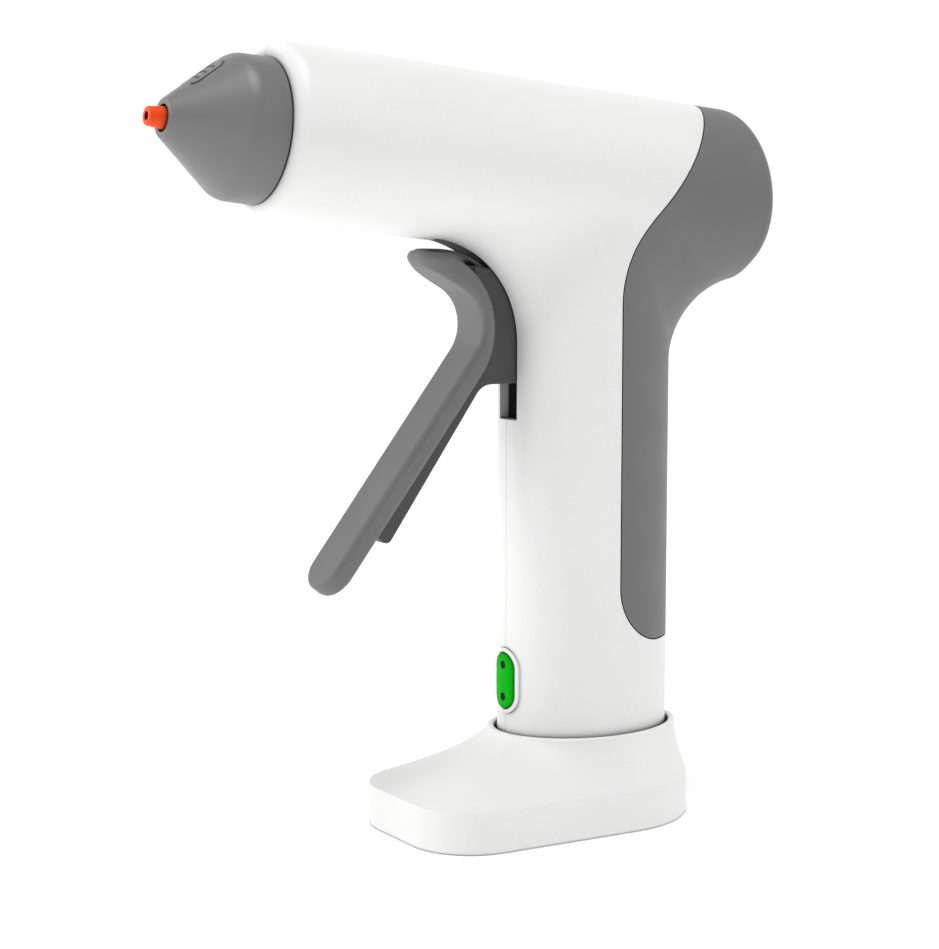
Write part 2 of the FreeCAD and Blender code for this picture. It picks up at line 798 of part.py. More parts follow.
def trigger_pad():
    pad = swept_y(rounded_outline(pad_corners()), amount("pad_half"))
    ends = [edge for edge in pad.Edges if is_end_edge(edge)]
    tip = [edge for edge in ends if edge.CenterOfMass.z < amount("grip_middle_height")]
    pad = pad.makeFillet(amount("pad_tip_round"), tip)
    lip = [edge for edge in pad.Edges if is_end_edge(edge) and edge.CenterOfMass.x < amount("pad_lip_x")]
    pad = pad.makeFillet(amount("pad_lip_round"), lip)
    pad = pad.makeFillet(amount("pad_round"), sharp_edges(pad))
    node("trigger_pad", shaped("trigger_pad", pad))


def lever_arch():
    """A thin arch from the web to the pad's lip, that closes the slot above the pad."""
    half = amount("arch_half")
    centre = side(amount("arch_x"), amount("arch_height"))
    outer = amount("arch_radius")
    inner = outer - amount("arch_wall")
    ring = side_bar(centre.x, centre.z, outer, -half, half)
    ring = ring.cut(side_bar(centre.x, centre.z, inner, -2 * half, 2 * half))
    start = Vector(amount("arch_x - arch_overlap"), -half, amount("arch_start_height"))
    return ring.common(Part.makeBox(2 * outer, 2 * half, outer, start))


def trigger_lever():
    """The lever behind the pad: web, rib, arch, hub and the fork that drives the carriage."""
    pivot = side(amount("pivot_x"), amount("pivot_height"))
    drive = barrel_point(amount("drive_along"), -amount("drive_below"))
    down, front = lean_direction()
    rib_top = lever_bend() - front * amount("rib_depth") + down * amount("rib_drop")
    rib_end = rib_top + down * amount("rib_length")
    rib_heel = rib_end + front * (amount("rib_depth") + 2)
    root = amount("rib_root")
    corners = [(-30.6, 123.7, 0.3), (-11, 120.4, 4), (-6.2, 113, 4), (-14.5, root, 2),
               (rib_top.x, root, 4.6), (rib_end.x, rib_end.z, 1.4),
               (rib_heel.x, rib_heel.z, 0),
               (-32.2, 102.2, 0), (-28.8, 110.9, 0), (-30.9, 117.5, 0)]
    blade = swept_y(rounded_outline(corners), amount("lever_half"))
    rims = [edge for edge in blade.Edges if edge.BoundBox.YLength < 0.01 and edge.BoundBox.XMax < -23]
    blade = blade.makeFillet(amount("lever_round"), rims)
    blade = blade.fuse(lever_arch()).cut(swept_y(rounded_outline(pad_corners()), amount("pad_half")))
    hub = side_bar(pivot.x, pivot.z, amount("hub_radius"), -amount("lever_half"), amount("lever_half"))
    reach = (drive - pivot).Length
    half = amount("arm_half")
    arm = Part.makeBox(amount("arm_width"), 2 * half, reach + 2.3, Vector(-amount("arm_width / 2"), -half, 0))
    slot_half = amount("drive_radius + fork_gap")
    slot = Part.makeBox(2 * slot_half, 4 * half, 8, Vector(-slot_half, -2 * half, reach - 2.2))
    lean = Rotation(Vector(0, 0, 1), drive - pivot)
    for piece in (arm, slot):
        piece.Placement = Placement(pivot, lean)
    bore = side_bar(pivot.x, pivot.z, amount("pivot_radius + running_gap"), -2 * half, 2 * half)
    lever = blade.fuse([hub, arm]).cut(slot.fuse(bore)).removeSplitter()
    node("trigger_lever", shaped("trigger_lever", lever))
    pin = cylinder("trigger_pivot_pin", "pivot_radius", "2 * pivot_half_length")
    node("trigger_pivot_pin", stand(pin, "pivot_x", "-pivot_half_length", "pivot_height", TURN_TO_Y))


# ---------------------------------------------------------------- handle contents

def battery():
    cell = cylinder("battery_cell", "cell_radius", "cell_length")
    node("battery_cell", stand(cell, "cell_x", 0, "cell_bottom"))
    top = plate("cell_contact_top", oblong("9", "9"), "0.6")
    node("cell_contact_top", stand(top, "cell_x", 0, "cell_bottom + cell_length"))
    bottom = plate("cell_contact_bottom", oblong("9", "9"), "0.6")
    node("cell_contact_bottom", stand(bottom, "cell_x", 0, "cell_bottom - 0.6"))
    ring = tube("cradle_ring", "cell_radius + 0.1", "cell_radius + 1", "50")
    stand(ring, "cell_x", 0, "cell_bottom + 6")
    keep = stand(box("cradle_front", "12", "30", "60"), "cell_x - 12", -15, "cell_bottom")
    node("cell_cradle", common("cell_cradle", ring, keep))


def control_board():
    board = plate("control_board", oblong("board_length", "2 * board_half"), "board_wall")
    node("control_board", stand(board, "board_x", 0, "board_bottom + board_length / 2", TURN_TO_X))
    base = stand(box("switch_base", "2.2", "4", "4"), "board_x - 2.2", -2, "button_height - 2")
    plunger = stand(cylinder("switch_plunger", "1", "0.7"), "board_x - 2.9", 0, "button_height", TURN_TO_X)
    node("button_switch", fuse("button_switch", base, plunger))
    lamps = []
    for name, up in (("low", "-4.4"), ("high", "3.2")):
        lamp = stand(box("lamp_" + name, "0.9", "2", "1.2"), "board_x - 0.9", -1, "button_height + " + up)
        lamps.append(lamp)
    node("indicator_leds", group("indicator_lamps", *lamps))


def power_button():
    """The lit oval button, its face following the handle's curve, and its two marks."""
    half = amount("button_half")
    length = amount("button_length")
    proud = amount("button_proud")
    bottom = amount("handle_bottom")
    skin = oval(amount("handle_half_length") + proud, amount("handle_half_width") + proud, bottom)
    skin = skin.extrude(Vector(0, 0, 3 * length))
    stem = stadium(half, length, 8, -24).common(skin)
    stem = stem.cut(Part.makeBox(10, 20, 40, Vector(-16.8, -10, bottom)))
    inner = amount("shell_wall + skin_gap * 2")
    lining = oval(amount("handle_half_length") - inner, amount("handle_half_width") - inner, bottom)
    flange = stadium(half + 0.9, length + 1.8, 3.2, -20).common(lining.extrude(Vector(0, 0, 3 * length)))
    button = stem.fuse(flange).removeSplitter()
    marks = []
    for up in (3.6, -3.6):
        mark = Part.makeCylinder(0.95, 6, Vector(-24, 0, amount("button_height") + up), Vector(1, 0, 0))
        inlay = mark.common(skin).cut(Part.makeBox(10, 20, 40, Vector(-20.3, -10, bottom)))
        marks.append(inlay)
    button = button.cut(Part.makeCompound(marks))
    node("power_button", shaped("power_button", button))
    node("button_marks", shaped("button_marks", Part.makeCompound(marks)))


def handle_end_cap():
    low = amount("handle_bottom")
    top = amount("cap_top - cap_clearance")
    inner = amount("shell_wall + cap_clearance * 2")
    lid = oval(amount("handle_half_length"), amount("handle_half_width"), low)
    lid = lid.extrude(Vector(0, 0, top - low))
    lid = lid.makeFillet(0.6, [edge for edge in lid.Edges if edge.BoundBox.ZMax < low + 0.01])
    spigot = oval(amount("handle_half_length") - inner, amount("handle_half_width") - inner, top)
    spigot = spigot.extrude(Vector(0, 0, amount("spigot_rise")))
    cap = shaped("cap_body", lid.fuse(spigot).removeSplitter())
    contacts = []
    recesses = []
    for name, aside in (("left", "-charge_pin_aside"), ("right", "charge_pin_aside")):
        contacts.append(stand(cylinder("contact_" + name, "2.6", "0.6"), 0, aside, "handle_bottom"))
        recesses.append(stand(cylinder("recess_" + name, "2.6", "0.6"), 0, aside, "handle_bottom"))
    node("handle_end_cap", cut("handle_end_cap", cap, *recesses))
    node("contact_pads", group("contact_pad_set", *contacts))


# ---------------------------------------------------------------- charging base

def foot_circles():
    """Centres and radii of the circles that the foot's outline wraps."""
    corner = amount("foot_corner_radius")
    front = -amount("foot_front") + corner
    aside = amount("foot_front_half") - corner
    rear = (Vector(), amount("foot_rear_radius"))
    return [rear, (Vector(front, -aside, 0), corner), (Vector(front, aside, 0), corner)]


FOOT_CIRCLES = foot_circles()


def foot_reach(angle, inset=0.0):
    """Distance from the handle's axis to the foot's outline, along a heading."""
    nearest = 4 * amount("foot_front")
    for step in range(-170, 171):
        swing = math.radians(step / 2)
        normal = Vector(math.cos(angle + swing), math.sin(angle + swing), 0)
        support = max(centre.dot(normal) + radius for centre, radius in FOOT_CIRCLES) - inset
        nearest = min(nearest, support / math.cos(swing))
    return nearest


def ring_wire(reach, height, count=64):
    """A smooth closed curve at a height, whose distance from the axis is a function of the angle."""
    points = []
    for index in range(count):
        angle = 2 * math.pi * index / count
        points.append(Vector(reach(angle) * math.cos(angle), reach(angle) * math.sin(angle), height))
    curve = Part.BSplineCurve()
    curve.interpolate(Points=points, PeriodicFlag=True)
    return Part.Wire([curve.toShape()])


def oval_reach(half_length, half_width):
    def reach(angle):
        return 1 / math.hypot(math.cos(angle) / half_length, math.sin(angle) / half_width)
    return reach


def base_form():
    """The foot's slab and the collar that sweeps up out of it."""
    low = amount("foot_clearance")
    foot_top = amount("foot_height")
    top = amount("base_height")
    collar = oval_reach(amount("collar_half_length"), amount("collar_half_width"))
    foot = {}

    def blended(share):
        def reach(angle):
            if angle not in foot:
                foot[angle] = foot_reach(angle)
            return collar(angle) + share * (foot[angle] - collar(angle))
        return reach

    slab = Part.Face(ring_wire(blended(1), low)).extrude(Vector(0, 0, foot_top - low))
    rings = []
    steps = 8
    for step in range(steps + 1):
        share = 1 - step / steps
        rings.append(ring_wire(blended(share ** amount("collar_flare")), top - share * (top - foot_top)))
    return slab.fuse(Part.makeLoft(rings, True, False))


def base_shell():
    form = base_form()
    floor = amount("well_floor")
    top = amount("base_height")
    half_length = amount("handle_half_length + well_gap")
    half_width = amount("handle_half_width + well_gap")
    well = oval(half_length, half_width, floor).extrude(Vector(0, 0, top - floor + 1))
    form = form.cut(well)
    rim = [edge for edge in form.Edges if edge.BoundBox.ZMin > top - 0.01]
    form = form.makeFillet(amount("rim_round"), rim)
    hollow = inset_slab("base_wall", "foot_clearance", "base_ceiling")
    posts = []
    holes = []
    for x, y in base_screw_spots():
        posts.append(Part.makeCylinder(3, amount("base_ceiling") - 2.1, Vector(x, y, 2.1)))
        holes.append(Part.makeCylinder(amount("screw_radius"), 4, Vector(x, y, 2)))
    hollow = hollow.cut(posts)
    socket = Part.makeBox(12, 9.8, 3.6, Vector(16, -4.9, 3.4))
    block = Part.makeBox(6.2, 18.2, 6, Vector(-3.1, -9.1, 5))
    form = form.cut([hollow, socket, block] + holes)
    node("base_shell", shaped("base_shell", form))


def inset_slab(inset, low, high):
    wall = amount(inset)
    face = Part.Face(ring_wire(lambda angle: foot_reach(angle, wall), amount(low)))
    return face.extrude(Vector(0, 0, amount(high) - amount(low)))


def base_screw_spots():
    return [(-39, -9.5), (-39, 9.5), (12, -14.4), (12, 14.4)]


def base_underside():
    plate_low = "base_plate_bottom"
    under = inset_slab("base_wall + base_plate_gap", plate_low, "base_plate_bottom + base_plate_wall")
    clearance = amount("screw_radius + running_gap")
    holes = [Part.makeCylinder(clearance, 4, Vector(x, y, 0)) for x, y in base_screw_spots()]
    node("base_bottom_plate", shaped("base_bottom_plate", under.cut(holes)))
    screws = []
    for index, (x, y) in enumerate(base_screw_spots()):
        screw = turned("base_screw_%d" % index, [
            ("0", "0"), ("0.6", "0"), ("0.6", "-0.2"), ("1.9", "-0.2"), ("1.9", "0.4"),
            ("screw_radius", "0.4"), ("screw_radius", "5"), ("0", "5")])
        screws.append(stand(screw, str(x), str(y), "base_plate_bottom - 0.4"))
    node("base_screws", group("base_screw_set", *screws))
    feet = []
    for name, (x, y) in zip("abcd", [(-38, -2.5), (-30, 15.5), (-30, -15.5), (18, 0)]):
        feet.append(stand(cylinder("foot_pad_" + name, "3.4", "base_plate_bottom"), x, y, 0))
    node("base_pads", group("base_pad_set", *feet))
    weight = plate("base_ballast", oblong("17", "30"), "4")
    node("base_ballast", stand(weight, "-24.5", 0, "2.1"))


def charging():
    board = plate("charge_board", oblong("26", "22"), "1.4")
    node("charge_board", stand(board, "5", 0, "2.1"))
    outer = stand(box("usb_outer", "8.4", "9.2", "3.3"), "15", -4.6, "3.55")
    inner = stand(box("usb_inner", "8", "8.4", "2.5"), "15.6", -4.2, "3.95")
    tongue = stand(box("usb_tongue", "6", "6.6", "0.7"), "15.4", -3.3, "4.85")
    node("usb_inlet", fuse("usb_inlet", cut("usb_can", outer, inner), tongue))
    block = stand(box("pin_body", "6", "18", "5.6"), -3, -9, 3.6)
    bores = []
    for name, sign in (("left", "-"), ("right", "")):
        aside = sign + "charge_pin_aside"
        bore = cylinder("pin_bore_" + name, "charge_pin_radius + running_gap", "8")
        bores.append(stand(bore, 0, aside, "3.6"))
        bores.append(stand(cylinder("pin_well_" + name, "1.6", "3.4"), 0, aside, "4.6"))
        shank = turned("pin_shank_" + name, [
            ("0", "-3"), ("1.4", "-3"), ("1.4", "-2.1"), ("charge_pin_radius", "-2.1"),
            ("charge_pin_radius", "-0.6"), ("0.6", "0"), ("0", "0")])
        node("charge_pin_" + name, stand(shank, 0, aside, "handle_bottom - 0.02"))
    node("pin_block", cut("pin_block", block, *bores))
    springs = []
    for name, sign in (("left", "-"), ("right", "")):
        spring = coil("pin_spring_" + name, 1.15, 0.15, 1.4, 3)
        springs.append(stand(spring, 0, sign + "charge_pin_aside", "4.8"))
    node("charge_springs", group("charge_spring_set", *springs))


# ---------------------------------------------------------------- make everything

def build():
    housing_halves()
    grip_cover()
    housing_screws()
    nose_cone()
    nozzle()
    heater()
    heater_supports()
    check_valve()
    glue_path()
    carriage()
    grip_jaw()
    return_spring()
    trigger_pad()
    trigger_lever()
    battery()
    control_board()
    power_button()
    handle_end_cap()
    base_shell()
    base_underside()
    charging()


def check_and_write():
    doc.recompute()
    faults = [item.Name for item in doc.Objects if "Invalid" in item.State or "Error" in item.State]
    for piece in nodes:
        if piece.Shape.isNull() or not piece.Shape.isValid() or not piece.Shape.Solids:
            faults.append(piece.Label)
    if faults:
        raise RuntimeError("failed: " + ", ".join(faults))
    os.makedirs("parts", exist_ok=True)
    for piece in nodes:
        piece.Shape.exportStep("parts/%s.step" % piece.Label)
        print("%-22s %d solid(s) %9.1f mm3" % (piece.Label, len(piece.Shape.Solids), piece.Shape.Volume))


build()
check_and_write()
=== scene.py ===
import json
import math

import bpy
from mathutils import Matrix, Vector


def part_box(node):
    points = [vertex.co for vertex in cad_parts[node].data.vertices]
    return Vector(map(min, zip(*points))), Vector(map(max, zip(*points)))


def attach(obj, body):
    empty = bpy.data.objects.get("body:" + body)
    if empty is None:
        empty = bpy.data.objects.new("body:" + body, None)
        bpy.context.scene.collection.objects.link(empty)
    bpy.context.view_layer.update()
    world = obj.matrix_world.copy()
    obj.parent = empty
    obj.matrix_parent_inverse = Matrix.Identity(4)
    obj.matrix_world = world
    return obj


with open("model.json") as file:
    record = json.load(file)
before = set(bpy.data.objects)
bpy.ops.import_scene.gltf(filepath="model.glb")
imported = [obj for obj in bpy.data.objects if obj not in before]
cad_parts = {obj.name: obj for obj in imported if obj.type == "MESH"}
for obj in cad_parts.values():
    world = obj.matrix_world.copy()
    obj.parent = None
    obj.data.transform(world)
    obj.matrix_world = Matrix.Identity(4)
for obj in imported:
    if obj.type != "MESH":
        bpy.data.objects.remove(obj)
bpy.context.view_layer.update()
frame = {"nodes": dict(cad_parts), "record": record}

# A cordless glue gun standing in its charging base. Metres, +Z up, nose towards -X.

MM = 0.001
PER_METRE = 1000
NODES = frame["nodes"]
SLOT_OF = {part["node"]: part["material_slot"] for part in frame["record"]["subparts"]}


# ---------------------------------------------------------------- node helpers

# The part of 0 to 1 in which most of a noise's values lie.
MIDDLE = (0.3, 0.7)

# The dot product of the rounded and the flat normal at which an edge counts in full.
EDGE_TURNED = 0.86
BEVEL_SAMPLES = 4
CREVICE_SAMPLES = 8

RANGE_SOCKETS = ("From Min", "From Max", "To Min", "To Max")

# Where a colour Mix node keeps its factor, its two colours and its result.
MIX_FACTOR, MIX_A, MIX_B, MIX_RESULT = 0, 6, 7, 2


class Graph:
    """A material's node tree, with short calls for the nodes that this scene uses."""

    def __init__(self, name):
        self.material = bpy.data.materials.new(name)
        self.material.use_nodes = True
        self.tree = self.material.node_tree
        self.tree.nodes.clear()
        output = self.add("ShaderNodeOutputMaterial")
        self.shader = self.add("ShaderNodeBsdfPrincipled")
        self.link(self.shader.outputs["BSDF"], output.inputs["Surface"])
        self.place = self.add("ShaderNodeTexCoord").outputs["Object"]

    def add(self, kind, **settings):
        made = self.tree.nodes.new(kind)
        for key, value in settings.items():
            setattr(made, key, value)
        return made

    def link(self, source, target):
        self.tree.links.new(source, target)

    def feed(self, socket, value):
        """Links a node's output to the socket, or sets the socket to a constant."""
        if isinstance(value, bpy.types.NodeSocket):
            self.link(value, socket)
        else:
            socket.default_value = value

    def math(self, operation, first, second=0.0):
        made = self.add("ShaderNodeMath", operation=operation)
        self.feed(made.inputs[0], first)
        self.feed(made.inputs[1], second)
        return made.outputs[0]

    def vector(self, operation, first, second=None, scale=None):
        made = self.add("ShaderNodeVectorMath", operation=operation)
        self.feed(made.inputs[0], first)
        if second is not None:
            self.feed(made.inputs[1], second)
        if scale is not None:
            made.inputs["Scale"].default_value = scale
        return made.outputs["Value" if operation in ("LENGTH", "DOT_PRODUCT") else "Vector"]

    def noise(self, waves, detail=3.0, rough=0.55, stretch=(1, 1, 1)):
        """Noise from 0 to 1. `waves` is in waves per millimetre."""
        spread = self.vector("MULTIPLY", self.place, tuple(PER_METRE * waves * part for part in stretch))
        made = self.add("ShaderNodeTexNoise")
        self.link(spread, made.inputs["Vector"])
        made.inputs["Scale"].default_value = 1.0
        made.inputs["Detail"].default_value = detail
        made.inputs["Roughness"].default_value = rough
        return made.outputs["Fac"]

    def cells(self, points):
        """Distance to the nearest of many scattered points. `points` is in points per millimetre."""
        spread = self.vector("SCALE", self.place, scale=PER_METRE * points)
        made = self.add("ShaderNodeTexVoronoi", feature="F1")
        self.link(spread, made.inputs["Vector"])
        made.inputs["Scale"].default_value = 1.0
        return made.outputs["Distance"]

    def span(self, value, low, high, to_low=0.0, to_high=1.0):
        """Maps low..high onto to_low..to_high, and holds the ends."""
        made = self.add("ShaderNodeMapRange")
        self.feed(made.inputs["Value"], value)
        for socket, number in zip(RANGE_SOCKETS, (low, high, to_low, to_high)):
            made.inputs[socket].default_value = number
        return made.outputs["Result"]

    def mix(self, share, first, second):
        """Blends two colours, each of them three numbers or a node's output."""
        made = self.add("ShaderNodeMix", data_type="RGBA")
        self.feed(made.inputs[MIX_FACTOR], share)
        for place, value in ((MIX_A, first), (MIX_B, second)):
            if not isinstance(value, bpy.types.NodeSocket):
                value = (*value, 1.0)
            self.feed(made.inputs[place], value)
        return made.outputs[MIX_RESULT]

    def rounded_normal(self, radius):
        """The surface's normal, as if its edges were rounded by `radius` millimetres."""
        made = self.add("ShaderNodeBevel", samples=BEVEL_SAMPLES)
        made.inputs["Radius"].default_value = radius * MM
        return made.outputs["Normal"]

    def edges(self, radius):
        """From 0 on open surfaces to 1 on outside and inside edges, `radius` millimetres wide."""
        flat = self.add("ShaderNodeNewGeometry").outputs["Normal"]
        match = self.vector("DOT_PRODUCT", self.rounded_normal(radius), flat)
        return self.span(match, 1.0, EDGE_TURNED)

    def crevice(self, reach, shut=0.42, clear=0.8):
        """From 0 deep in gaps of about `reach` millimetres to 1 on open surfaces."""
        made = self.add("ShaderNodeAmbientOcclusion", samples=CREVICE_SAMPLES)
        made.inputs["Distance"].default_value = reach * MM
        return self.span(made.outputs["AO"], shut, clear)

    def surface(self, height, distance, softened):
        """Bump of `distance` millimetres over edges that are rounded by `softened` millimetres."""
        bump = self.add("ShaderNodeBump")
        bump.inputs["Strength"].default_value = 1.0
        bump.inputs["Distance"].default_value = distance * MM
        self.link(height, bump.inputs["Height"])
        self.link(self.rounded_normal(softened), bump.inputs["Normal"])
        self.link(bump.outputs["Normal"], self.shader.inputs["Normal"])

    def colour(self, source):
        self.link(source, self.shader.inputs["Base Color"])

    def roughness(self, source):
        self.link(source, self.shader.inputs["Roughness"])

    def set(self, **constants):
        for key, value in constants.items():
            self.shader.inputs[key.replace("_", " ")].default_value = value


def shade(colour, factor):
    return tuple(min(1.0, part * factor) for part in colour)


# ---------------------------------------------------------------- materials

# Markings that every moulding has, in waves per millimetre.
FLOW_WAVES = 0.03
PATCH_WAVES = 0.11
SPECK_WAVES = 1.7

# The noise at which specks start and are whole, how strong they get, and how dark they are.
SPECK_RANGE = (0.35, 0.75)
SPECK_SHARE = 0.22
SPECK_SHADE = 0.86

# Where along the patches edges are worn, the least of it elsewhere, and how much smoother it leaves them.
WORN_RANGE = (0.35, 0.65)
WORN_LEAST = 0.35
WORN_SMOOTH = 0.1

# Painted shade: broad and soft where a big piece shelters itself, near black in seams and inside corners.
PAINTED_SHADE_RANGE = (0.4, 0.92)
PAINTED_SHADE_TONE = 0.62
PAINTED_SEAM_SHADE = 0.05

# How far handling changes the roughness, and the finer pits among the larger ones.
ROUGH_SWING = 0.06
FINE_PITS = 1.6
FINE_SHARE = 0.7


def moulded(name, colour, rough, grain=2.2, depth=0.012, worn=1.25, dusty=0.94, edge=0.5, softened=0.25,
            gap=1.0, painted_shade_reach=0.0, **more):
    """Moulded plastic or rubber: pitted grain, faint flow marks, handled patches, worn edges, and painted
    shade: near black in seams and inside corners, broad and soft where a big piece shelters itself.

    `grain` is in pits per millimetre. `depth`, `edge`, `softened` and the reaches of the two painted shades
    are in millimetres.
    `worn` and `dusty` are what the colour is multiplied by on edges and in flow marks.
    """
    g = Graph(name)
    flow = g.noise(FLOW_WAVES, 2, 0.5)
    patches = g.noise(PATCH_WAVES, 4, 0.6)
    speck = g.noise(SPECK_WAVES, 2, 0.6)
    tint = g.mix(g.span(flow, *MIDDLE), shade(colour, dusty), colour)
    tint = g.mix(g.span(speck, *SPECK_RANGE, 0, SPECK_SHARE), tint, shade(colour, SPECK_SHADE))
    rim = g.math("MULTIPLY", g.edges(edge), g.span(patches, *WORN_RANGE, WORN_LEAST, 1.0))
    tint = g.mix(rim, tint, shade(colour, worn))
    # Painted shade: the colour darkens broadly where the piece shelters itself, such as under the barrel and
    # behind the trigger.
    if painted_shade_reach:
        tint = g.mix(g.crevice(painted_shade_reach, *PAINTED_SHADE_RANGE), shade(colour, PAINTED_SHADE_TONE), tint)
    # Painted shade: the colour turns near black in seams, gaps and inside corners.
    g.colour(g.mix(g.crevice(gap), shade(colour, PAINTED_SEAM_SHADE), tint))
    handled = g.span(patches, *MIDDLE, rough - ROUGH_SWING, rough + ROUGH_SWING)
    g.roughness(g.math("SUBTRACT", handled, g.math("MULTIPLY", rim, WORN_SMOOTH)))
    fine = g.math("MULTIPLY", g.noise(grain * FINE_PITS, 2, 0.5), FINE_SHARE)
    g.surface(g.math("ADD", g.cells(grain), fine), depth, softened)
    g.set(**more)
    return g.material


def silicone(name, colour, rough, **more):
    """Silicone: fine grain, soft edges, and a little light that passes under its surface."""
    return moulded(name, colour, rough, grain=3.0, depth=0.008, worn=1.2, dusty=0.92, edge=0.35, softened=0.2,
                   Subsurface_Weight=0.12, Subsurface_Scale=0.002, **more)


def metal(name, colour, rough, along=(1, 1, 1), depth=0.004, tarnish=0.8):
    """Drawn or turned metal: fine lines, duller patches and bright edges."""
    line_swing, dulled, bright = 0.07, 0.1, 1.25
    g = Graph(name)
    lines = g.noise(3.0, 3, 0.6, along)
    patches = g.noise(0.25, 4, 0.6)
    tint = g.mix(g.span(patches, 0.35, 0.7), colour, shade(colour, tarnish))
    g.colour(g.mix(g.edges(0.2), tint, shade(colour, bright)))
    drawn = g.span(lines, *MIDDLE, rough - line_swing, rough + line_swing)
    g.roughness(g.math("ADD", drawn, g.span(patches, 0.4, 0.7, 0, dulled)))
    g.surface(lines, depth, softened=0.12)
    g.set(Metallic=1.0)
    return g.material


def lit_button():
    """The lens of the power button: bright in the middle, deeper green at its rim, lit from behind."""
    paint = ((0.0, 0.3, 0.003), (0.0, 0.37, 0.005))
    paint_rim = (0.0, 0.2, 0.006)
    light = ((0.0, 0.36, 0.0), (0.0, 0.46, 0.005))
    light_rim = (0.0, 0.1, 0.0)
    low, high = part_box("power_button")
    half_width = (high.y - low.y) / 2
    straight = (high.z - low.z) / 2 - half_width
    g = Graph("button_green")
    parts = g.add("ShaderNodeSeparateXYZ")
    g.link(g.vector("SUBTRACT", g.place, tuple((low + high) / 2)), parts.inputs[0])
    up = g.math("ABSOLUTE", parts.outputs["Z"])
    aside = g.math("ABSOLUTE", parts.outputs["Y"])
    beyond = g.math("MAXIMUM", g.math("SUBTRACT", up, straight), 0.0)
    across = g.math("SQRT", g.math("ADD", g.math("POWER", aside, 2.0), g.math("POWER", beyond, 2.0)))
    rim = g.span(g.math("DIVIDE", across, half_width), 0.45, 0.98)
    cloud = g.span(g.noise(0.5, 3, 0.6), *MIDDLE)
    g.colour(g.mix(rim, g.mix(cloud, *paint), paint_rim))
    g.link(g.mix(rim, g.mix(cloud, *light), light_rim), g.shader.inputs["Emission Color"])
    g.roughness(g.span(g.noise(1.5, 3, 0.6), *MIDDLE, 0.12, 0.26))
    g.surface(g.noise(1.2, 2, 0.5), distance=0.004, softened=0.2)
    g.set(Emission_Strength=0.3, Specular_IOR_Level=0.03)
    return g.material


def board(name, colour):
    """Solder-masked circuit board with buried tracks and bare edges."""
    track_shade = 1.7
    bare = (0.5, 0.45, 0.28)
    g = Graph(name)
    tracks = g.span(g.noise(0.5, 1, 0.4, (1, 1, 3)), 0.48, 0.52)
    tint = g.mix(tracks, colour, shade(colour, track_shade))
    g.colour(g.mix(g.edges(0.2), tint, bare))
    g.roughness(g.span(g.noise(1.0, 3, 0.6), *MIDDLE, 0.28, 0.42))
    g.surface(tracks, distance=0.02, softened=0.1)
    return g.material


def lamp(name, colour):
    """The clear body of a small green lamp, cloudy in places."""
    glow = (0.1, 0.8, 0.1, 1.0)
    g = Graph(name)
    cloud = g.noise(0.8, 3, 0.6)
    g.colour(g.mix(cloud, shade(colour, 0.8), colour))
    g.roughness(g.span(cloud, *MIDDLE, 0.1, 0.3))
    g.surface(cloud, distance=0.005, softened=0.1)
    g.set(Emission_Strength=0.4, Emission_Color=glow)
    return g.material


WHITE = (0.86, 0.86, 0.855)
SATIN = {"grain": 2.0, "depth": 0.006, "worn": 1.06, "dusty": 0.975, "Specular_IOR_Level": 0.45}

MATERIALS = {
    # The housing carries the broad painted shade under the barrel and behind the trigger.
    "housing_white": moulded("housing_white", WHITE, 0.42, painted_shade_reach=26, **SATIN),
    "base_white": moulded("base_white", WHITE, 0.44, **SATIN),
    "grip_grey": moulded("grip_grey", (0.15, 0.15, 0.152), 0.62, grain=2.6, depth=0.016, worn=1.3, dusty=0.95,
                         Sheen_Weight=0.15, Sheen_Roughness=0.5),
    "cone_grey": silicone("cone_grey", (0.19, 0.19, 0.192), 0.44),
    "trigger_grey": moulded("trigger_grey", (0.155, 0.155, 0.157), 0.5, grain=2.4, depth=0.014, worn=1.3,
                            dusty=0.95),
    "lever_dark": moulded("lever_dark", (0.062, 0.062, 0.064), 0.5, grain=2.0, depth=0.014, worn=1.4,
                          dusty=0.9),
    # The nozzle's painted seam shade reaches further, so that its bore is painted dark.
    "nozzle_orange": silicone("nozzle_orange", (0.95, 0.075, 0.003), 0.45, gap=2.5, Specular_IOR_Level=0.25),
    "button_green": lit_button(),
    "button_ink": moulded("button_ink", (0.004, 0.015, 0.004), 0.6, grain=3.0, depth=0.004, worn=1.2,
                          dusty=0.9, edge=0.1, softened=0.08, Specular_IOR_Level=0.08),
    "inner_grey": moulded("inner_grey", (0.09, 0.09, 0.092), 0.52, grain=2.0, worn=1.4, dusty=0.9),
    "silicone_red": silicone("silicone_red", (0.42, 0.06, 0.04), 0.55),
    "aluminium": metal("aluminium", (0.72, 0.73, 0.75), 0.38, depth=0.01, tarnish=0.85),
    "steel": metal("steel", (0.55, 0.55, 0.57), 0.28, along=(0.3, 1, 1)),
    "brass": metal("brass", (0.8, 0.56, 0.2), 0.24, along=(1, 1, 0.3), depth=0.003, tarnish=0.75),
    "circuit_green": board("circuit_green", (0.015, 0.12, 0.05)),
    "cell_wrap": moulded("cell_wrap", (0.04, 0.14, 0.36), 0.3, grain=0.8, depth=0.01, worn=1.2, dusty=0.9),
    "rubber_black": moulded("rubber_black", (0.02, 0.02, 0.02), 0.68, grain=2.4, depth=0.02, worn=1.6,
                            dusty=0.9),
    "lamp_clear": lamp("lamp_clear", (0.75, 0.85, 0.7)),
    "ceramic": moulded("ceramic", (0.75, 0.72, 0.66), 0.6, grain=3.0, depth=0.01, worn=1.1, dusty=0.9),
}

for name, node in NODES.items():
    node.data.materials.clear()
    node.data.materials.append(MATERIALS[SLOT_OF[name]])


# ---------------------------------------------------------------- the plain mark on the cone

